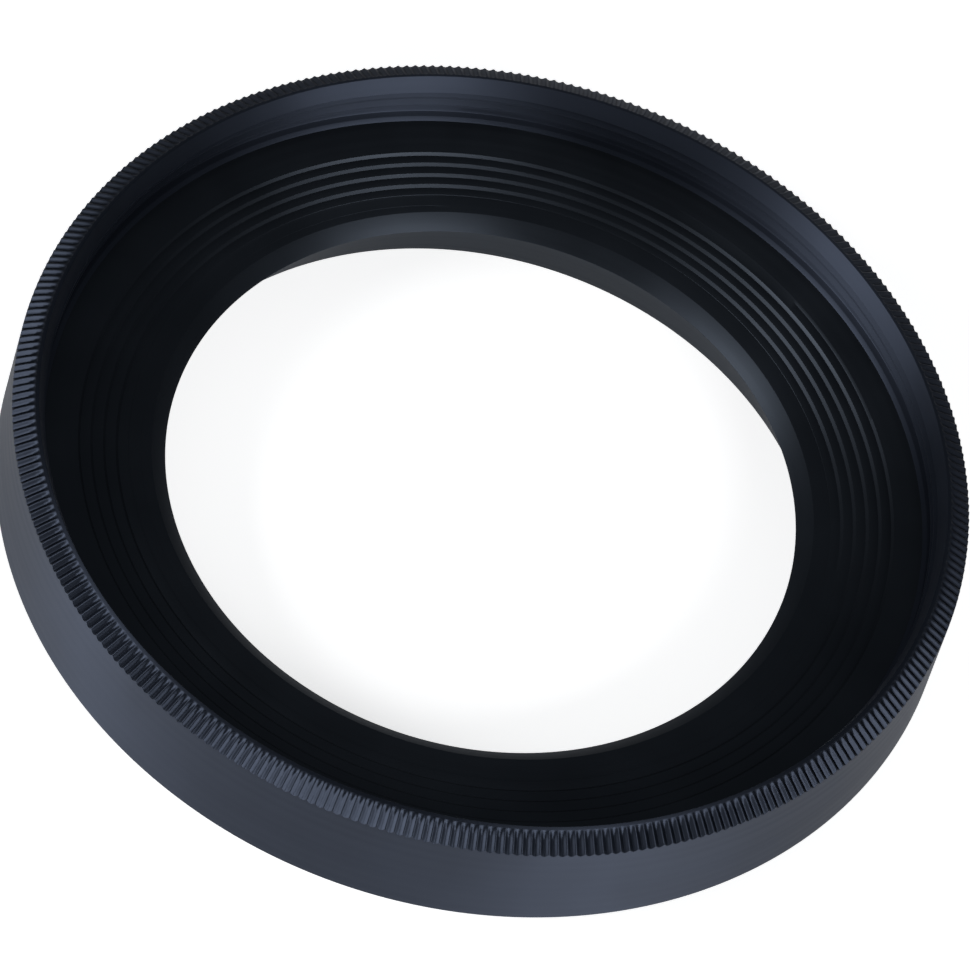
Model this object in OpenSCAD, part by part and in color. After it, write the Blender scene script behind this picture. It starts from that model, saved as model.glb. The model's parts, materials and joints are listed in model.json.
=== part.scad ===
// Shallow screw-in lens hood, standing on its mount thread with the mouth up.
// A knurled barrel, a ridged baffle plate clamped inside it, and the mount ring
// that screws into the barrel from behind and carries the thread for the lens.
// Origin: centre of the rear end of the mount thread. +Z runs to the mouth.

/* [Barrel] */
// Outside diameter of the barrel
barrel_d = 55; // [54.6:0.1:58]
// Height of the barrel from its rear edge to the lip of the mouth
barrel_h = 7; // [6.8:0.1:14]
// Diameter of the smooth lead-in at the mouth
mouth_d = 52.2; // [52.1:0.05:52.5]
// Depth of the lead-in below the lip
lead_in_h = 1.05; // [0.6:0.05:1.2]
// Crest diameter of the front filter thread, M52 x 0.75
front_thread_d = 51.2; // [51.1:0.05:51.3]
// Height of the run-out groove under the front thread
relief_h = 0.4; // [0.2:0.05:0.5]
// Inner diameter of the ledge that traps the baffle plate
ledge_d = 51; // [50.8:0.05:51.1]
// Height of that ledge
ledge_h = 0.15; // [0.1:0.05:0.3]
// Chamfer on the barrel's rear outer edge
rear_edge = 0.2; // [0.1:0.05:0.4]

/* [Knurled rim] */
// Radial width of the knurled bevel
bevel_w = 1; // [0.8:0.05:1]
// Height of the knurled bevel
bevel_h = 0.65; // [0.4:0.05:1]
// Rise of the smooth lip from the knurl to the mouth
lip_h = 0.1; // [0.05:0.05:0.2]
// Number of straight ribs round the rim
rib_count = 336; // [180:12:360]
// Depth of the cuts between the ribs
rib_depth = 0.16; // [0.08:0.02:0.2]

/* [Baffle plate] */
// Clear aperture, measured at the knife edge
aperture_d = 36.4; // [30:0.2:37.4]
// Outside diameter of the plate
plate_d = 52; // [51.6:0.05:52.1]
// Thickness of the plate at its rim
plate_rim_t = 1.18; // [1:0.02:1.6]
// Thickness of the plate where its floor meets the aperture chamfer
plate_floor_t = 0.7; // [0.5:0.02:0.9]
// Radial width of the chamfer in front of the knife edge
chamfer_w = 0.9; // [0.4:0.05:1.2]
// Diameter of the outermost floor ridge
ridge_d = 46.2; // [45:0.1:48]
// Distance from one ridge to the next
ridge_pitch = 0.73; // [0.5:0.01:0.9]
// Number of ridges
ridge_count = 4; // [1:1:5]
// Depth of the cut in front of each ridge
ridge_h = 0.16; // [0.04:0.02:0.2]

/* [Mount ring] */
// Crest diameter of the thread that screws into the lens, M43 x 0.75
neck_thread_d = 43; // [42.9:0.05:43.1]
// Length of the neck that carries the lens thread
neck_h = 2.1; // [1.6:0.1:4]
// Chamfer at the open end of the neck
neck_edge = 0.25; // [0.1:0.05:0.3]
// Height of the flange that screws into the barrel
flange_h = 2.58; // [2:0.02:3.2]
// Inner diameter at the open end of the neck
neck_bore_d = 41; // [40:0.1:41.4]

/* [Fit] */
// Middle diameter of the joint thread between mount ring and barrel, M53 x 0.75
joint_thread_d = 52.6; // [52.5:0.05:52.7]
// Radial clearance of the joint thread
thread_gap = 0.05; // [0.02:0.01:0.1]
// Clearance on each face of the clamped plate
seat_gap = 0.02; // [0.01:0.01:0.05]

/* [Hidden] */

$fn = 180;

// Levels, from the rear end of the neck upward
flange_z = neck_h;
plate_z = flange_z + flange_h + seat_gap;
ledge_z = plate_z + plate_rim_t + seat_gap;
relief_z = ledge_z + ledge_h;
thread_z = relief_z + relief_h;
lip_z = neck_h + barrel_h;
lead_in_z = lip_z - lead_in_h;
knurl_top_z = lip_z - lip_h;
knurl_foot_z = knurl_top_z - bevel_h;

// Radii
barrel_r = barrel_d / 2;
knurl_in_r = barrel_r - bevel_w;
mouth_r = mouth_d / 2;
front_thread_r = front_thread_d / 2;
ledge_r = ledge_d / 2;
joint_bore_r = joint_thread_d / 2 + thread_gap;
aperture_r = aperture_d / 2;
floor_edge_r = aperture_r + chamfer_w;
plate_r = plate_d / 2;
throat_r = aperture_r + 0.1;

// Lead-out chamfer from the front thread up to the lead-in
thread_lead = mouth_r - front_thread_r;
// Straight land behind the knife edge, and the flat rim that the ledge bears on
knife_land = 0.05;
rim_flat_w = 0.6;

// Slope of the coned floor between the aperture chamfer and the rim
floor_in_r = plate_r - rim_flat_w;
floor_slope = (plate_rim_t - plate_floor_t) / (floor_in_r - floor_edge_r);

// Height of the floor at radius r
function floor_at(r) = plate_z + plate_floor_t + (r - floor_edge_r) * floor_slope;

// Lean of each ridge's steep inner wall
ridge_lean = 0.03;

// One saw-tooth ridge at radius r, from its crest down its steep inner wall
function ridge_points(r) = [
    [r + ridge_lean, floor_at(r)],
    [r, floor_at(r) - ridge_h]
];
function ridge_r(i) = ridge_d / 2 - i * ridge_pitch;

module barrel() {
    color([0.07, 0.075, 0.09])
    difference() {
        rotate_extrude() polygon([
            [barrel_r - rear_edge, flange_z],
            [barrel_r, flange_z + rear_edge],
            [barrel_r, knurl_foot_z],
            [knurl_in_r, knurl_top_z],
            [mouth_r, lip_z],
            [mouth_r, lead_in_z],
            [front_thread_r, lead_in_z - thread_lead],
            [front_thread_r, thread_z],
            [mouth_r, thread_z],
            [mouth_r, relief_z],
            [ledge_r, relief_z],
            [ledge_r, ledge_z],
            [joint_bore_r, ledge_z],
            [joint_bore_r, flange_z]
        ]);
        knurl_cuts();
    }
}

// V cuts down the bevel, one between each pair of ribs
module knurl_cuts() {
    slope = atan2(bevel_h, bevel_w);
    run = norm([bevel_w, bevel_h]);
    for (i = [0 : rib_count - 1])
        rotate([0, 0, i * 360 / rib_count])
        translate([knurl_in_r, 0, knurl_top_z])
        rotate([0, 90 + slope, 0])
        rotate([0, 0, 45])
        translate([-rib_depth * sqrt(0.5), -rib_depth * sqrt(0.5), 0])
        cube([rib_depth * sqrt(2), rib_depth * sqrt(2), run + 1]);
}

module baffle_plate() {
    color([0.02, 0.02, 0.024])
    rotate_extrude() polygon(concat(
        [[aperture_r, plate_z],
         [plate_r, plate_z],
         [plate_r, plate_z + plate_rim_t],
         [floor_in_r, plate_z + plate_rim_t]],
        [for (i = [0 : ridge_count - 1], p = ridge_points(ridge_r(i))) p],
        [[floor_edge_r, floor_at(floor_edge_r)],
         [aperture_r, plate_z + knife_land]]
    ));
}

module mount_ring() {
    color([0.09, 0.095, 0.11])
    rotate_extrude() polygon([
        [neck_bore_d / 2, 0],
        [neck_thread_d / 2 - neck_edge, 0],
        [neck_thread_d / 2, neck_edge],
        [neck_thread_d / 2, flange_z],
        [joint_thread_d / 2, flange_z],
        [joint_thread_d / 2, flange_z + flange_h],
        [throat_r, flange_z + flange_h]
    ]);
}

barrel();
baffle_plate();
mount_ring();
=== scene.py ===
"""Looks of the shallow screw-in lens hood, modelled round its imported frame."""

import json
import math

import bmesh
import bpy
from bpy.props import FloatProperty, FloatVectorProperty, IntProperty, PointerProperty
from mathutils import Matrix, Vector


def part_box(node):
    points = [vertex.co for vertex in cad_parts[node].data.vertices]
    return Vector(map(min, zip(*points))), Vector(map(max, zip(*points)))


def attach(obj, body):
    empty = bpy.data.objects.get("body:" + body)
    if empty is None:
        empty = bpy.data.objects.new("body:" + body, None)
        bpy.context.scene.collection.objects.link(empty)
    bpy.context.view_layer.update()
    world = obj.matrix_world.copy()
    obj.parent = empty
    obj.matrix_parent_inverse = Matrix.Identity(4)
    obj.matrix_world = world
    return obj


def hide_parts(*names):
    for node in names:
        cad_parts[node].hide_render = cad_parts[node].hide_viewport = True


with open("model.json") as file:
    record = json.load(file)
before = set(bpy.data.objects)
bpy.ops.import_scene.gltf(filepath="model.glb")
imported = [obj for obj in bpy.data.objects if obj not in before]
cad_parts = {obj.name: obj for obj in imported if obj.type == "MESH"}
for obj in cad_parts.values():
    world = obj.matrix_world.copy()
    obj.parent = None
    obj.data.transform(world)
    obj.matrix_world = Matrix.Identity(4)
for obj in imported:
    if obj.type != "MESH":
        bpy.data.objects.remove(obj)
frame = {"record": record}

bl_info = {
    "name": "Screw-in lens hood",
    "version": (1, 0, 0),
    "blender": (4, 5, 0),
    "location": "View3D > Sidebar > Lens Hood",
    "description": "Models a knurled black lens hood with cut threads and a ridged baffle plate",
    "category": "Add Mesh",
}

MM = 0.001
TAU = math.tau

# What the frame fixes: the corners of each node and the two thread radii.
BARREL_LOW, BARREL_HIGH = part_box("barrel")
PLATE_LOW, PLATE_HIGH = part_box("baffle_plate")
RING_LOW, RING_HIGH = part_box("mount_ring")
THREAD_RADIUS = {
    mount["name"]: mount["dims"]["r_mm"] * MM
    for mount in frame["record"]["mounts"]
    if "r_mm" in mount["dims"]
}
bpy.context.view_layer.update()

# Points closer than this are one point, and wound ones closer than the finer value.
WELD = 0.0005 * MM
FINE_WELD = WELD / 10
# Steps round the axis on everything that is turned, and how far off a step a vertex may lie.
TURN_STEPS = 336
STEP_TOLERANCE = 0.0005
# Edges flatter than this are shaded smooth.
SMOOTH_ANGLE = math.radians(34)
# A fine metric thread: its pitch, the height of its sharp triangle, and its flats.
PITCH = 0.75 * MM
TRIANGLE = 0.866 * PITCH
THREAD_DEPTH = TRIANGLE * 5 / 8
NARROW_FLAT = PITCH / 8
WIDE_FLAT = PITCH / 4
# Where a joint thread ends, it runs out more steeply than its flanks, so it clears its mate.
JOINT_RUN_OUT = 0.15 * MM
# Step from a joint thread's root to the plain surface beside it.
JOINT_RELIEF = 0.05 * MM
# Clearance that the frame leaves between the plate and the barrel's ledge.
PLATE_GAP = 0.02 * MM
# The middle part of a noise value's range, where most of it lies.
NOISE_SPAN = (0.3, 0.7)


def length(name, description, default_mm):
    """A length property, given in millimetres and kept in metres."""
    return FloatProperty(
        name=name, description=description, default=default_mm * MM, precision=5, unit="LENGTH"
    )


def colour(name, description, default):
    """A colour property."""
    return FloatVectorProperty(
        name=name, description=description, default=default, size=3, min=0, max=1, subtype="COLOR"
    )


class HoodBarrelSizes(bpy.types.PropertyGroup):
    """Sizes of the barrel."""

    bevel_width: length("Bevel width", "Radial width of the knurled bevel", 1.2)
    bevel_height: length("Bevel height", "Height of the knurled bevel", 0.7)
    lip_rise: length("Lip rise", "Rise of the smooth lip from the knurl to the mouth", 0.05)
    rib_depth: length("Rib depth", "Depth of the cuts between the ribs", 0.14)
    rib_count: IntProperty(
        name="Ribs", description="Number of straight ribs round the rim", default=336, min=12
    )
    mouth_step: length("Mouth step", "Step from the filter thread's crest out to the mouth", 0.5)
    lead_in: length("Lead-in", "Depth of the smooth wall between the lip and the thread", 1.05)
    lead_in_step: length("Lead-in step", "Step from the tapered lead-in to the thread's crest", 0.12)
    ledge_radius: length("Ledge radius", "Inner radius of the ledge over the plate", 25.3)
    ledge_height: length("Ledge height", "Height of that ledge", 0.15)
    ledge_chamfer: length("Ledge chamfer", "Radial width of the ledge's sloping inner edge", 0.26)
    relief_height: length("Relief", "Height of the run-out groove under the thread", 0.4)
    relief_radius: length("Relief radius", "Radius of the run-out groove", 25.95)
    joint_radius: length("Joint thread", "Root radius of the rear internal thread", 26.52)
    rear_edge: length("Rear edge", "Chamfer on the rear outer edge", 0.06)


class HoodPlateSizes(bpy.types.PropertyGroup):
    """Sizes of the baffle plate."""

    aperture: length("Aperture", "Radius of the knife edge", 18.2)
    chamfer_width: length("Chamfer width", "Radial width of the chamfer at the aperture", 0.9)
    floor_thickness: length("Floor thickness", "Thickness where the floor meets the chamfer", 0.7)
    rim_flat: length("Rim flat", "Radial width of the flat rim under the ledge", 0.6)
    ridge_radius: length("Ridge radius", "Radius at which the spiral cut starts", 23.69)
    ridge_feed: length("Ridge feed", "Distance from one turn of the spiral to the next", 0.73)
    ridge_depth: length("Ridge depth", "Depth of the spiral cut", 0.13)
    ridge_lean: length("Ridge lean", "Radial width of each ridge's inner flank", 0.15)
    ridge_round: length("Ridge round", "Radius on each ridge's crest", 0.02)
    ridge_start: FloatProperty(
        name="Ridge start",
        description="Angle at which the spiral cut starts",
        default=math.radians(76),
        subtype="ANGLE",
    )
    ridge_turns: FloatProperty(
        name="Ridge turns", description="Turns of the spiral cut at full depth", default=4.2
    )


class HoodRingSizes(bpy.types.PropertyGroup):
    """Sizes of the mount ring."""

    neck_bore: length("Neck bore", "Bore radius at the open end of the neck", 20.5)
    throat: length("Throat", "Bore radius behind the knife edge", 18.3)
    joint_radius: length("Joint thread", "Crest radius of the thread that enters the barrel", 26.46)
    neck_edge: length("Neck edge", "Chamfer at the open end of the neck", 0.25)
    undercut: length("Undercut", "Height of the groove between neck thread and flange", 0.35)


class HoodFinish(bpy.types.PropertyGroup):
    """Colours of the anodised surfaces and of the floor."""

    satin: colour("Satin black", "Anodised barrel", (0.040, 0.048, 0.068))
    matte: colour("Matte black", "Anodised baffle plate", (0.033, 0.039, 0.049))
    dull: colour("Dull black", "Anodised mount ring", (0.020, 0.0245, 0.032))
    floor: colour("Floor", "Pale floor under the hood", (0.88, 0.88, 0.88))


class HoodStageSizes(bpy.types.PropertyGroup):
    """Camera and lights."""

    tilt: FloatProperty(
        name="Camera tilt",
        description="Angle between the view and the hood's axis",
        default=math.radians(37.84),
        subtype="ANGLE",
    )
    roll: FloatProperty(
        name="Camera roll",
        description="Turn of the picture about the view",
        default=math.radians(18.07),
        subtype="ANGLE",
    )
    distance: length("Distance", "From the camera to the knurl's foot circle", 636.6)
    lens: FloatProperty(name="Lens", description="Focal length in mm", default=418.2)
    aim_right: length("Aim right", "Shift of the view's centre to the right", -0.51)
    aim_down: length("Aim down", "Shift of the view's centre downwards", 1.97)
    right_turn: FloatProperty(
        name="Right light turn",
        description="Angle of the right light round the hood",
        default=math.radians(-45),
        subtype="ANGLE",
    )
    left_turn: FloatProperty(
        name="Left light turn",
        description="Angle of the left light round the hood",
        default=math.radians(-155),
        subtype="ANGLE",
    )
    light_rise: FloatProperty(
        name="Light rise",
        description="Angle of both lights above the floor",
        default=math.radians(22),
        subtype="ANGLE",
    )
    glow: FloatProperty(
        name="Floor glow", description="Light from the panel under the hood", default=0.66
    )
    glow_inner: length("Glow inner", "Radius within which the panel glows fully", 48)
    glow_outer: length("Glow outer", "Radius at which the panel's glow ends", 110)
    box_size: length("Light size", "Side of each square light", 300)
    box_distance: length("Light distance", "From the hood to each light", 500)
    box_power: FloatProperty(name="Light power", description="Watts of each light", default=2.0)


# ---------------------------------------------------------------- modelling helpers


def deselect_all():
    """Leaves object mode with nothing selected."""
    if bpy.context.mode != "OBJECT":
        bpy.ops.object.mode_set(mode="OBJECT")
    bpy.ops.object.select_all(action="DESELECT")


def pick(piece):
    """Selects one piece in object mode and makes it the active one."""
    deselect_all()
    piece.select_set(True)
    bpy.context.view_layer.objects.active = piece


def edit(piece):
    """Enters edit mode on one piece."""
    pick(piece)
    bpy.ops.object.mode_set(mode="EDIT")


def select_vertices(piece, wanted):
    """Selects, in edit mode, just the vertices that wanted() accepts."""
    mesh = bmesh.from_edit_mesh(piece.data)
    bpy.ops.mesh.select_mode(type="VERT")
    for vertex in mesh.verts:
        vertex.select = wanted(vertex)
    mesh.select_flush_mode()
    bmesh.update_edit_mesh(piece.data)


def outline(name, points):
    """An open chain of points (radius, height), drawn by extruding one vertex."""
    deselect_all()
    bpy.ops.mesh.primitive_plane_add(size=MM, location=(0, 0, 0))
    piece = bpy.context.active_object
    piece.name = name
    bpy.ops.object.mode_set(mode="EDIT")
    bpy.ops.mesh.select_mode(type="VERT")
    bpy.ops.mesh.select_all(action="SELECT")
    bpy.ops.mesh.merge(type="CENTER")
    places = [Vector((radius, 0, height)) for radius, height in points]
    bpy.ops.transform.translate(value=places[0])
    for here, there in zip(places, places[1:]):
        bpy.ops.mesh.extrude_vertices_move(TRANSFORM_OT_translate={"value": there - here})
    return piece


def turned(name, points, edge=0.03 * MM):
    """A surface of revolution from an outline, its corners rounded before it is spun."""
    piece = outline(name, points)
    select_vertices(piece, lambda vertex: len(vertex.link_edges) == 2)
    bpy.ops.mesh.bevel(offset=edge, segments=3, affect="VERTICES", clamp_overlap=True)
    bpy.ops.mesh.select_all(action="SELECT")
    bpy.ops.mesh.spin(steps=TURN_STEPS, angle=TAU, center=(0, 0, 0), axis=(0, 0, 1))
    bpy.ops.mesh.select_all(action="SELECT")
    bpy.ops.mesh.remove_doubles(threshold=WELD)
    deselect_all()
    return piece


def between_steps(vertex):
    """Whether a vertex lies off the whole steps round the axis."""
    steps = math.atan2(vertex.co.y, vertex.co.x) * TURN_STEPS / TAU
    return abs(steps - round(steps)) > STEP_TOLERANCE


def helix(name, section, pitch, low, high):
    """A helical band between two heights. The section is one pitch of (radius, height) points."""
    spare_turns = 2
    start = math.floor(low / pitch) - spare_turns
    end = math.ceil(high / pitch) + spare_turns
    points = [
        (radius, height + turn * pitch) for turn in range(start, end) for radius, height in section
    ]
    piece = outline(name, points)
    pick(piece)
    bpy.ops.object.modifier_add(type="SCREW")
    screw = piece.modifiers[-1]
    screw.axis = "Z"
    screw.angle = TAU
    screw.screw_offset = pitch
    screw.steps = screw.render_steps = TURN_STEPS
    screw.use_merge_vertices = False
    bpy.ops.object.modifier_apply(modifier=screw.name)
    edit(piece)
    bpy.ops.mesh.select_all(action="SELECT")
    bpy.ops.mesh.remove_doubles(threshold=FINE_WELD)
    for height, normal in ((high, 1), (low, -1)):
        bpy.ops.mesh.select_all(action="SELECT")
        bpy.ops.mesh.bisect(
            plane_co=(0, 0, height), plane_no=(0, 0, normal), clear_outer=True, threshold=FINE_WELD
        )
    # A cut ring keeps one vertex a step, so that it matches the ring it will be bridged to.
    select_vertices(piece, between_steps)
    bpy.ops.mesh.dissolve_verts()
    deselect_all()
    return piece


def thread(name, crest, root, low, high, shift=0.0):
    """A metric thread between two heights. It is internal where the crest radius is the smaller."""
    internal = crest < root
    crest_flat, root_flat = (WIDE_FLAT, NARROW_FLAT) if internal else (NARROW_FLAT, WIDE_FLAT)
    section = [
        (crest, shift - crest_flat / 2),
        (crest, shift + crest_flat / 2),
        (root, shift + (PITCH - root_flat) / 2),
        (root, shift + (PITCH + root_flat) / 2),
    ]
    return helix(name, section, PITCH, low, high)


def join(first, *others):
    """Joins pieces into the first one."""
    deselect_all()
    for piece in (first, *others):
        piece.select_set(True)
    bpy.context.view_layer.objects.active = first
    bpy.ops.object.join()
    return first


def on_ring(vertex, ring):
    """Whether a vertex lies at the ring's height and between its radii."""
    height, inner, outer = ring
    radius = math.hypot(vertex.co.x, vertex.co.y)
    return abs(vertex.co.z - height) < WELD and inner - WELD < radius < outer + WELD


def bridge(piece, ring_a, ring_b):
    """Closes the gap between two open rings of a piece, each (height, inner, outer radius)."""
    edit(piece)
    bpy.ops.mesh.select_mode(type="EDGE")
    bpy.ops.mesh.select_all(action="DESELECT")
    mesh = bmesh.from_edit_mesh(piece.data)
    for edge in mesh.edges:
        if edge.is_boundary:
            edge.select = any(
                all(on_ring(vertex, ring) for vertex in edge.verts) for ring in (ring_a, ring_b)
            )
    mesh.select_flush_mode()
    bmesh.update_edit_mesh(piece.data)
    bpy.ops.mesh.bridge_edge_loops()
    deselect_all()


def close_up(piece):
    """Welds a piece, turns its faces outwards, checks that it is closed and smooths it."""
    edit(piece)
    bpy.ops.mesh.select_all(action="SELECT")
    bpy.ops.mesh.remove_doubles(threshold=WELD)
    bpy.ops.mesh.select_all(action="SELECT")
    bpy.ops.mesh.normals_make_consistent(inside=False)
    mesh = bmesh.from_edit_mesh(piece.data)
    loose = [edge for edge in mesh.edges if not edge.is_manifold]
    if loose:
        place = loose[0].verts[0].co
        raise RuntimeError(f"{piece.name} has {len(loose)} open edges, one at {place[:]}")
    pick(piece)
    bpy.ops.object.shade_smooth_by_angle(angle=SMOOTH_ANGLE)
    bpy.ops.object.modifier_add(type="WEIGHTED_NORMAL")
    weighted = piece.modifiers[-1]
    weighted.keep_sharp = True
    bpy.ops.object.modifier_apply(modifier=weighted.name)
    piece.data.name = piece.name


def finish_piece(piece, node, material):
    """Gives a finished piece its material, and its place in the frame."""
    piece.data.materials.clear()
    piece.data.materials.append(material)
    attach(piece, node)
    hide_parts(node)


# ---------------------------------------------------------------- finishes


def node_graph(name):
    """An empty material, with its nodes, links and shader."""
    material = bpy.data.materials.new(name)
    material.use_nodes = True
    tree = material.node_tree
    tree.nodes.clear()
    output = tree.nodes.new("ShaderNodeOutputMaterial")
    shader = tree.nodes.new("ShaderNodeBsdfPrincipled")
    tree.links.new(shader.outputs["BSDF"], output.inputs["Surface"])
    return material, tree, shader


def add_math(tree, operation, first, second=None):
    """A math node on sockets or numbers. Returns its output."""
    node = tree.nodes.new("ShaderNodeMath")
    node.operation = operation
    for socket, value in zip(node.inputs, (first, second)):
        if isinstance(value, bpy.types.NodeSocket):
            tree.links.new(value, socket)
        elif value is not None:
            socket.default_value = value
    return node.outputs[0]


def lathe_coordinates(tree):
    """Object coordinates, and the same point as (radius, height, a little of its angle).

    The angle counts for so little that a noise made from them runs in marks round the axis.
    """
    length_per_radian = 0.02 * MM
    place = tree.nodes.new("ShaderNodeTexCoord").outputs["Object"]
    split = tree.nodes.new("ShaderNodeSeparateXYZ")
    tree.links.new(place, split.inputs[0])
    x, y, z = split.outputs
    x_squared = add_math(tree, "MULTIPLY", x, x)
    y_squared = add_math(tree, "MULTIPLY", y, y)
    radius = add_math(tree, "SQRT", add_math(tree, "ADD", x_squared, y_squared))
    flat = tree.nodes.new("ShaderNodeCombineXYZ")
    tree.links.new(radius, flat.inputs[0])
    tree.links.new(z, flat.inputs[1])
    angle = add_math(tree, "MULTIPLY", add_math(tree, "ARCTAN2", y, x), length_per_radian)
    tree.links.new(angle, flat.inputs[2])
    return place, flat.outputs[0]


def add_noise(tree, vector, size, detail=2.0):
    """Noise whose features have this size in metres. Returns its value."""
    noise = tree.nodes.new("ShaderNodeTexNoise")
    noise.inputs["Scale"].default_value = 1 / size
    noise.inputs["Detail"].default_value = detail
    tree.links.new(vector, noise.inputs["Vector"])
    return noise.outputs["Fac"]


def add_range(tree, value, low, high, source=NOISE_SPAN):
    """Maps a value from the source range to low..high. Returns its output."""
    node = tree.nodes.new("ShaderNodeMapRange")
    node.inputs["From Min"].default_value, node.inputs["From Max"].default_value = source
    node.inputs["To Min"].default_value, node.inputs["To Max"].default_value = low, high
    tree.links.new(value, node.inputs["Value"])
    return node.outputs["Result"]


def add_mix(tree, factor, first, second):
    """A colour between two colours. Returns its output."""
    node = tree.nodes.new("ShaderNodeMix")
    node.data_type = "RGBA"
    tree.links.new(factor, node.inputs[0])
    for socket, value in ((node.inputs[6], first), (node.inputs[7], second)):
        if isinstance(value, bpy.types.NodeSocket):
            tree.links.new(value, socket)
        else:
            socket.default_value = (*value, 1)
    return node.outputs[2]


def add_bump(tree, height, depth, strength, under=None):
    """A bump of this depth in metres, over another one. Returns its normal."""
    node = tree.nodes.new("ShaderNodeBump")
    node.inputs["Distance"].default_value = depth
    node.inputs["Strength"].default_value = strength
    tree.links.new(height, node.inputs["Height"])
    if under:
        tree.links.new(under, node.inputs["Normal"])
    return node.outputs["Normal"]


def anodised(name, base, rough, grooved, tooling, rim=1.0):
    """Dyed anodised aluminium: an oxide grain over fine turning marks.

    It takes the base colour, the mean roughness, how far the marks spread the gloss, how strongly
    they show in relief, and how much a surface seen edge-on still shines.
    """
    dye_stray, rough_stray = 0.1, 0.02
    material, tree, shader = node_graph(name)
    place, lathe = lathe_coordinates(tree)
    cloud = add_noise(tree, place, size=6 * MM)
    grain = add_noise(tree, place, size=0.06 * MM, detail=3.0)
    marks = add_noise(tree, lathe, size=0.05 * MM)
    bands = add_noise(tree, lathe, size=0.4 * MM, detail=1.0)
    dark = tuple((1 - dye_stray) * part for part in base)
    pale = tuple((1 + dye_stray) * part for part in base)
    body = add_mix(tree, add_range(tree, cloud, 0, 1), dark, pale)
    tree.links.new(body, shader.inputs["Base Color"])
    banded = add_range(tree, bands, -rough_stray, rough_stray)
    clouded = add_range(tree, cloud, -rough_stray, rough_stray)
    uneven = add_math(tree, "ADD", banded, clouded)
    tree.links.new(add_math(tree, "ADD", uneven, rough), shader.inputs["Roughness"])
    shader.inputs["Metallic"].default_value = 1.0
    shader.inputs["Specular Tint"].default_value = (rim, rim, rim, 1)
    # Turning marks run round the axis, so a quarter turn spreads the gloss across them.
    quarter = 0.25
    shader.inputs["Anisotropic"].default_value = grooved
    shader.inputs["Anisotropic Rotation"].default_value = quarter
    around = tree.nodes.new("ShaderNodeTangent")
    around.direction_type = "RADIAL"
    around.axis = "Z"
    tree.links.new(around.outputs["Tangent"], shader.inputs["Tangent"])
    turned_marks = add_bump(tree, marks, depth=0.004 * MM, strength=tooling)
    relief = add_bump(tree, grain, depth=0.003 * MM, strength=0.3, under=turned_marks)
    tree.links.new(relief, shader.inputs["Normal"])
    return material


def pale_floor(base, stage):
    """A plain pale floor with a faint unevenness, and a panel in it that glows under the hood."""
    shade_share, floor_roughness = 0.97, 0.9
    material, tree, shader = node_graph("pale_floor")
    place = tree.nodes.new("ShaderNodeTexCoord").outputs["Object"]
    distance = tree.nodes.new("ShaderNodeVectorMath")
    distance.operation = "LENGTH"
    tree.links.new(place, distance.inputs[0])
    spread = (stage.glow_inner, stage.glow_outer)
    glow = add_range(tree, distance.outputs["Value"], stage.glow, 0, spread)
    shader.inputs["Emission Color"].default_value = (1, 1, 1, 1)
    tree.links.new(glow, shader.inputs["Emission Strength"])
    cloud = add_noise(tree, place, size=200 * MM)
    shade = tuple(shade_share * part for part in base)
    body = add_mix(tree, add_range(tree, cloud, 0, 1), shade, base)
    tree.links.new(body, shader.inputs["Base Color"])
    shader.inputs["Roughness"].default_value = floor_roughness
    return material


# ---------------------------------------------------------------- the barrel


def rib_ring(sizes, foot_z, rim_r, top_r, top_z, skirt_z, collar):
    """The ring of knurling: one rib between two half grooves, then its copies round the axis."""
    slope = math.atan2(sizes.bevel_height, sizes.bevel_width)
    along = Vector((-math.cos(slope), 0, math.sin(slope)))
    outward = Vector((math.sin(slope), 0, math.cos(slope)))
    run = math.hypot(sizes.bevel_width, sizes.bevel_height)
    # The bevel bulges by this much at its middle.
    crown = 0.03 * MM
    # Across a rib, as (place, share of the depth): groove, flank, shoulder, crest, and back.
    half = ((0.5, 1.0), (0.25, 0.66), (0.1, 0.1))
    across = [(-offset, share) for offset, share in half] + [(0.0, 0.0)] + list(reversed(half))
    # Up a rib: how far along the bevel, and the share of the depth there.
    up = ((0.0, 1.0), (0.12, 1.0), (0.35, 1.0), (0.6, 1.0), (0.8, 0.9), (0.92, 0.55), (1.0, 0.0))
    turn = TAU / sizes.rib_count
    rows = len(up) + 2

    deselect_all()
    bpy.ops.mesh.primitive_grid_add(
        x_subdivisions=len(across) - 1, y_subdivisions=rows - 1, size=1, location=(0, 0, 0)
    )
    ribs = bpy.context.active_object
    ribs.name = "ribs"

    def place(column, row):
        offset, share = across[column]
        if row == 0:
            spot = Vector((rim_r, 0, skirt_z))
        elif row == rows - 1:
            spot = Vector(collar)
        else:
            travel, depth = up[row - 1]
            cut = share * depth * sizes.rib_depth
            arch = crown * 4 * travel * (1 - travel)
            spot = Vector((rim_r, 0, foot_z)) + along * run * travel + outward * (arch - cut)
            if row == 1:
                # The foot of every cut lies on the barrel's own wall.
                spot = Vector((rim_r, 0, foot_z - cut / math.cos(slope)))
            elif row == rows - 2:
                spot = Vector((top_r, 0, top_z))
        return Matrix.Rotation(offset * turn, 3, "Z") @ spot

    cell_x, cell_y = len(across) - 1, rows - 1
    inner_ends = []
    for vertex in ribs.data.vertices:
        column = round((vertex.co.x + 0.5) * cell_x)
        row = round((vertex.co.y + 0.5) * cell_y)
        if row in (0, cell_y) and 0 < column < cell_x:
            inner_ends.append(vertex.index)
        vertex.co = place(column, row)
    edit(ribs)
    select_vertices(ribs, lambda vertex: vertex.index in inner_ends)
    bpy.ops.mesh.dissolve_verts()
    bpy.ops.mesh.select_all(action="SELECT")
    bpy.ops.mesh.spin(
        steps=sizes.rib_count - 1,
        angle=TAU - turn,
        dupli=True,
        center=(0, 0, 0),
        axis=(0, 0, 1),
    )
    deselect_all()
    return ribs


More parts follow.
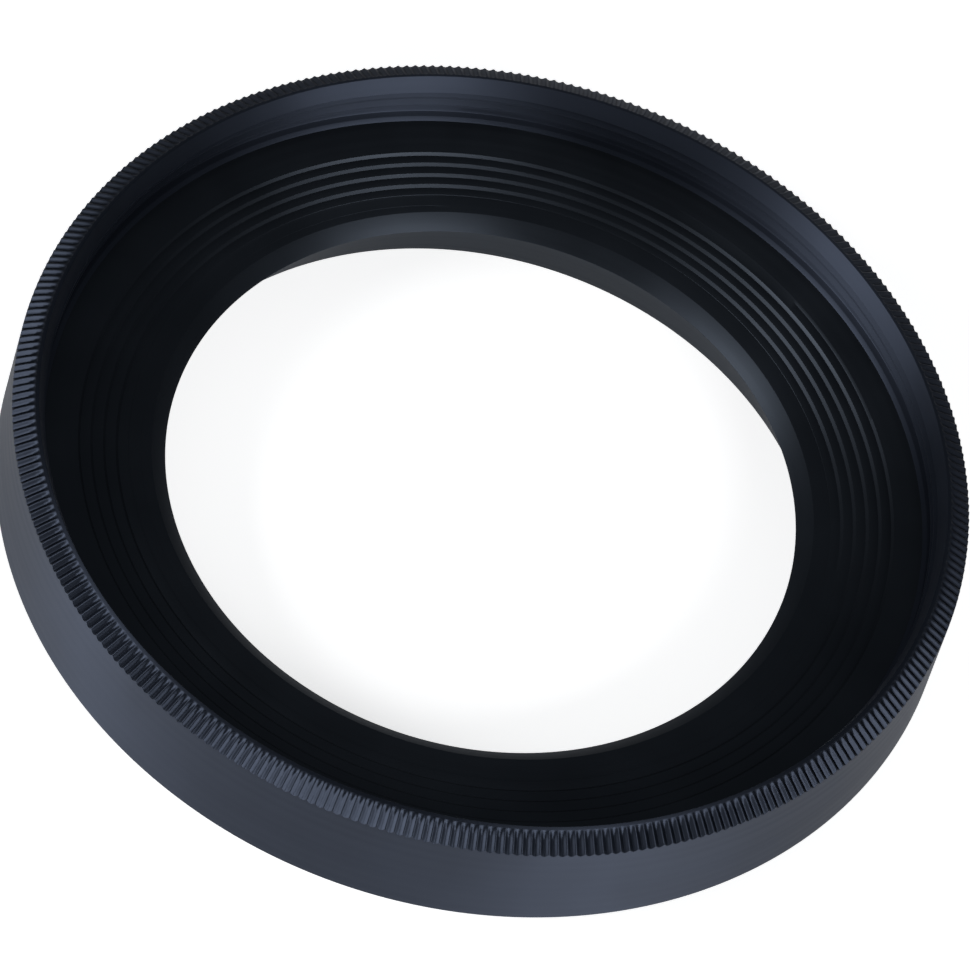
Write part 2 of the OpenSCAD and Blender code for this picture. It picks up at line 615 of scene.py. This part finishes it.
class HOOD_OT_barrel(bpy.types.Operator):
    """Models the barrel: its wall, lip, knurled rim, filter thread, ledge and rear thread"""

    bl_idname = "hood.barrel"
    bl_label = "Barrel"

    def execute(self, context):
        sizes = context.scene.hood_barrel
        rim_r = BARREL_HIGH.x
        rear_z, lip_z = BARREL_LOW.z, BARREL_HIGH.z
        top_z = lip_z - sizes.lip_rise
        foot_z = top_z - sizes.bevel_height
        top_r = rim_r - sizes.bevel_width
        crest_r = THREAD_RADIUS["front_thread"]
        mouth_r = crest_r + sizes.mouth_step
        root_r = crest_r + THREAD_DEPTH
        joint_root = sizes.joint_radius
        joint_crest = joint_root - THREAD_DEPTH

        joint_mouth_r = joint_root + JOINT_RELIEF

        ledge_z = PLATE_HIGH.z + PLATE_GAP
        relief_z = ledge_z + sizes.ledge_height
        relief_top_z = relief_z + sizes.relief_height
        lead_in_z = lip_z - sizes.lead_in
        # The filter thread runs out into the lead-in above it and the relief below it.
        thread_high = lead_in_z - 0.1 * MM
        thread_low = relief_top_z + 0.05 * MM
        lead_r = crest_r + sizes.lead_in_step
        # The joint thread stops short of the ledge and runs out into a plain bore.
        joint_low = rear_z + JOINT_RUN_OUT
        joint_high = ledge_z - 0.7 * MM
        bore_z = joint_high + 0.2 * MM

        # The ribs' mesh reaches below the foot of their cuts, and a little way over the lip.
        skirt_z = foot_z - 1.6 * sizes.rib_depth
        collar_r = top_r - 0.05 * MM
        collar_z = top_z + sizes.lip_rise * (top_r - collar_r) / (top_r - mouth_r)
        half_rib = TAU / sizes.rib_count / 2

        mouth = turned(
            "barrel_mouth", [(lead_r, lead_in_z), (mouth_r, lip_z), (collar_r, collar_z)]
        )
        wall = turned(
            "hood_barrel",
            [
                (rim_r, skirt_z),
                (rim_r, rear_z + sizes.rear_edge),
                (rim_r - sizes.rear_edge, rear_z),
                (joint_mouth_r, rear_z),
            ],
        )
        ledge = turned(
            "barrel_ledge",
            [
                (joint_root, bore_z),
                (joint_root, ledge_z),
                (sizes.ledge_radius, ledge_z),
                (sizes.ledge_radius + sizes.ledge_chamfer, relief_z),
                (sizes.relief_radius, relief_z),
                (sizes.relief_radius, relief_top_z),
            ],
        )
        filter_thread = thread("filter_thread", crest_r, root_r, thread_low, thread_high)
        # Half a pitch of shift puts the barrel's crests in the mount ring's grooves.
        joint_thread = thread("rear_thread", joint_crest, joint_root, joint_low, joint_high, PITCH / 2)
        ribs = rib_ring(sizes, foot_z, rim_r, top_r, top_z, skirt_z, (collar_r, 0, collar_z))
        # The ribs' grooves fall on the wall's own lines.
        edit(ribs)
        bpy.ops.mesh.select_all(action="SELECT")
        bpy.ops.transform.rotate(value=half_rib, orient_axis="Z", center_override=(0, 0, 0))
        barrel = join(wall, mouth, ledge, filter_thread, joint_thread, ribs)
        edit(barrel)
        bpy.ops.mesh.select_all(action="SELECT")
        bpy.ops.mesh.remove_doubles(threshold=WELD)
        deselect_all()
        relief_r = sizes.relief_radius
        bridge(barrel, (thread_high, crest_r, root_r), (lead_in_z, lead_r, lead_r))
        bridge(barrel, (thread_low, crest_r, root_r), (relief_top_z, relief_r, relief_r))
        bridge(barrel, (joint_low, joint_crest, joint_root), (rear_z, joint_mouth_r, joint_mouth_r))
        bridge(barrel, (joint_high, joint_crest, joint_root), (bore_z, joint_root, joint_root))
        close_up(barrel)
        satin = anodised(
            "satin_black_anodised",
            context.scene.hood_finish.satin,
            rough=0.52,
            grooved=0.8,
            tooling=0.15,
        )
        finish_piece(barrel, "barrel", satin)
        return {"FINISHED"}


# ---------------------------------------------------------------- the baffle plate


class HOOD_OT_baffle_plate(bpy.types.Operator):
    """Models the baffle plate: coned floor, spiral ridges, aperture chamfer and knife edge"""

    bl_idname = "hood.baffle_plate"
    bl_label = "Baffle plate"

    def execute(self, context):
        sizes = context.scene.hood_plate
        low_z, high_z = PLATE_LOW.z, PLATE_HIGH.z
        plate_r = PLATE_HIGH.x
        floor_out = plate_r - sizes.rim_flat
        floor_in = sizes.aperture + sizes.chamfer_width
        in_z = low_z + sizes.floor_thickness
        climb = (high_z - in_z) / (floor_out - floor_in)
        land = 0.05 * MM
        # The spiral is a mesh of its own between these two radii, clear of its own first turn
        # and of the chamfer.
        cut_out = sizes.ridge_radius + 0.25 * MM
        cut_in = floor_in + 0.18 * MM
        # The cut starts shallow, deepens within a sixth of a turn, and ends in a faint tail.
        first_share, share_per_turn = 0.35, 4
        tail_share, tail_turns = 0.3, 0.7
        rounding = 1e-4

        def floor_at(radius):
            return in_z + climb * (radius - floor_in)

        def cut_share(radius, angle):
            """Share of the full depth, by how many turns of the spiral lie behind this point."""
            lag = (sizes.ridge_start - angle) / TAU
            turns = (sizes.ridge_radius - radius) / sizes.ridge_feed
            done = lag + math.floor(turns - lag + rounding)
            if done < 0 or done > sizes.ridge_turns + tail_turns:
                return 0.0
            if done > sizes.ridge_turns:
                return tail_share
            return min(1.0, first_share + done * share_per_turn)

        body = turned(
            "hood_baffle_plate",
            [
                (cut_out, floor_at(cut_out)),
                (floor_out, high_z),
                (plate_r, high_z),
                (plate_r, low_z),
                (sizes.aperture, low_z),
                (sizes.aperture, low_z + land),
                (floor_in, in_z),
                (cut_in, floor_at(cut_in)),
            ],
            edge=0.012 * MM,
        )
        # The spiral is wound as a thread whose heights are then laid out as radii.
        drum = 30 * MM
        depth, lean, feed = sizes.ridge_depth, sizes.ridge_lean, sizes.ridge_feed
        start = (sizes.ridge_radius - feed * sizes.ridge_start / TAU) % feed
        arc = [math.radians(angle) for angle in (0, 30, 60, 90)]
        bend = sizes.ridge_round
        section = [(drum - depth, start)]
        section += [
            (drum - bend * (1 - math.sin(angle)), start + lean + bend * (1 - math.cos(angle)))
            for angle in arc
        ]
        spiral = helix("spiral", section, feed, cut_in, cut_out)
        for vertex in spiral.data.vertices:
            angle = math.atan2(vertex.co.y, vertex.co.x)
            radius = vertex.co.z
            sink = (drum - math.hypot(vertex.co.x, vertex.co.y)) * cut_share(radius, angle)
            # At both ends the spiral stays level with the floor, where it meets the body's rings.
            if min(abs(radius - cut_in), abs(radius - cut_out)) < WELD:
                sink = 0
            height = floor_at(radius) - sink
            vertex.co = (radius * math.cos(angle), radius * math.sin(angle), height)
        plate = join(body, spiral)
        close_up(plate)
        matte = anodised(
            "matte_black_anodised",
            context.scene.hood_finish.matte,
            rough=0.48,
            grooved=0.5,
            tooling=0.2,
            rim=0.6,
        )
        finish_piece(plate, "baffle_plate", matte)
        return {"FINISHED"}


# ---------------------------------------------------------------- the mount ring


class HOOD_OT_mount_ring(bpy.types.Operator):
    """Models the mount ring: flared bore, lens thread on the neck and thread on the flange"""

    bl_idname = "hood.mount_ring"
    bl_label = "Mount ring"

    def execute(self, context):
        sizes = context.scene.hood_ring
        low_z, high_z = RING_LOW.z, RING_HIGH.z
        flange_z = BARREL_LOW.z
        neck_crest = THREAD_RADIUS["lens_thread"]
        neck_root = neck_crest - THREAD_DEPTH
        joint_crest = sizes.joint_radius
        joint_root = joint_crest - THREAD_DEPTH
        neck_low = low_z + sizes.neck_edge
        neck_high = flange_z - sizes.undercut
        joint_low = flange_z + JOINT_RUN_OUT
        joint_high = high_z - JOINT_RUN_OUT
        # The plain surfaces beside the two threads lie just under their roots.
        neck_r = neck_root - 0.02 * MM
        flange_r = joint_root - JOINT_RELIEF
        groove_z = neck_high + 0.1 * MM

        front = turned(
            "hood_mount_ring",
            [
                (flange_r, high_z),
                (sizes.throat, high_z),
                (sizes.neck_bore, low_z),
                (neck_r, low_z),
            ],
            edge=0.02 * MM,
        )
        rear = turned("mount_ring_rear", [(neck_r, groove_z), (neck_r, flange_z), (flange_r, flange_z)])
        neck_thread = thread("neck_thread", neck_crest, neck_root, neck_low, neck_high)
        joint_thread = thread("flange_thread", joint_crest, joint_root, joint_low, joint_high)
        ring = join(front, rear, neck_thread, joint_thread)
        bridge(ring, (neck_low, neck_root, neck_crest), (low_z, neck_r, neck_r))
        bridge(ring, (neck_high, neck_root, neck_crest), (groove_z, neck_r, neck_r))
        bridge(ring, (joint_low, joint_root, joint_crest), (flange_z, flange_r, flange_r))
        bridge(ring, (joint_high, joint_root, joint_crest), (high_z, flange_r, flange_r))
        close_up(ring)
        dull = anodised(
            "mount_black_anodised",
            context.scene.hood_finish.dull,
            rough=0.6,
            grooved=0.5,
            tooling=0.3,
            rim=0.68,
        )
        finish_piece(ring, "mount_ring", dull)
        return {"FINISHED"}


# ---------------------------------------------------------------- the stage


def soft_box(name, turn, rise, target, stage):
    """A square area light that faces the hood from an angle round it and an angle above it."""
    level = math.cos(rise)
    toward = Vector((level * math.cos(turn), level * math.sin(turn), math.sin(rise)))
    deselect_all()
    bpy.ops.object.light_add(type="AREA", location=target + toward * stage.box_distance)
    light = bpy.context.active_object
    light.name = name
    light.rotation_euler = toward.to_track_quat("Z", "Y").to_euler()
    light.data.shape = "SQUARE"
    light.data.size = stage.box_size
    light.data.energy = stage.box_power


class HOOD_OT_stage(bpy.types.Operator):
    """Sets the pale floor, the two soft lights and the camera"""

    bl_idname = "hood.stage"
    bl_label = "Stage"

    def execute(self, context):
        scene = context.scene
        stage = scene.hood_stage
        floor_side = 3
        room_colour, room_strength = (0.9, 0.95, 1.0, 1), 0.15
        deselect_all()
        bpy.ops.mesh.primitive_grid_add(
            x_subdivisions=4, y_subdivisions=4, size=floor_side, location=(0, 0, 0)
        )
        floor = context.active_object
        floor.name = "floor"
        floor.data.materials.append(pale_floor(scene.hood_finish.floor, stage))

        target = Vector((0, 0, BARREL_HIGH.z))
        soft_box("right_light", stage.right_turn, stage.light_rise, target, stage)
        soft_box("left_light", stage.left_turn, stage.light_rise, target, stage)

        world = bpy.data.worlds.new("dim_room")
        world.use_nodes = True
        background = world.node_tree.nodes["Background"]
        background.inputs["Color"].default_value = room_colour
        background.inputs["Strength"].default_value = room_strength
        scene.world = world
        scene.view_settings.view_transform = "Standard"

        tilt, roll = stage.tilt, stage.roll
        forward = Vector((0, math.sin(tilt), -math.cos(tilt)))
        level_up = Vector((0, math.cos(tilt), math.sin(tilt)))
        right = Vector((math.cos(roll), 0, 0)) + level_up * math.sin(roll)
        up = level_up * math.cos(roll) - Vector((math.sin(roll), 0, 0))
        sizes = scene.hood_barrel
        middle = Vector((0, 0, BARREL_HIGH.z - sizes.lip_rise - sizes.bevel_height))
        middle += right * stage.aim_right - up * stage.aim_down
        bpy.ops.object.camera_add()
        camera = context.active_object
        camera.name = "camera"
        camera.data.lens = stage.lens
        camera.data.clip_start = 10 * MM
        axes = Matrix((right, up, -forward)).transposed().to_4x4()
        camera.matrix_world = Matrix.Translation(middle - forward * stage.distance) @ axes
        scene.camera = camera
        return {"FINISHED"}


class HOOD_PT_panel(bpy.types.Panel):
    """Lists the hood's pieces, and their sizes and colours"""

    bl_idname = "HOOD_PT_panel"
    bl_label = "Lens Hood"
    bl_space_type = "VIEW_3D"
    bl_region_type = "UI"
    bl_category = "Lens Hood"

    def draw(self, context):
        for operator in OPERATORS:
            self.layout.operator(operator.bl_idname)
        for name in GROUPS:
            group = getattr(context.scene, name)
            box = self.layout.box()
            for key in group.__annotations__:
                box.prop(group, key)


OPERATORS = (HOOD_OT_stage, HOOD_OT_barrel, HOOD_OT_baffle_plate, HOOD_OT_mount_ring)
GROUPS = {
    "hood_barrel": HoodBarrelSizes,
    "hood_plate": HoodPlateSizes,
    "hood_ring": HoodRingSizes,
    "hood_finish": HoodFinish,
    "hood_stage": HoodStageSizes,
}


def register():
    """Registers the classes, and puts their sizes and colours on the scene."""
    for group in GROUPS.values():
        bpy.utils.register_class(group)
    for name, group in GROUPS.items():
        setattr(bpy.types.Scene, name, PointerProperty(type=group))
    for operator in OPERATORS:
        bpy.utils.register_class(operator)
    bpy.utils.register_class(HOOD_PT_panel)


def unregister():
    """Takes the classes and their sizes and colours away."""
    bpy.utils.unregister_class(HOOD_PT_panel)
    for operator in reversed(OPERATORS):
        bpy.utils.unregister_class(operator)
    for name in GROUPS:
        delattr(bpy.types.Scene, name)
    for group in reversed(list(GROUPS.values())):
        bpy.utils.unregister_class(group)


def main():
    """Builds the stage and the pieces."""
    register()
    bpy.ops.hood.stage()
    bpy.ops.hood.barrel()
    bpy.ops.hood.baffle_plate()
    bpy.ops.hood.mount_ring()


if __name__ == "__main__":
    main()
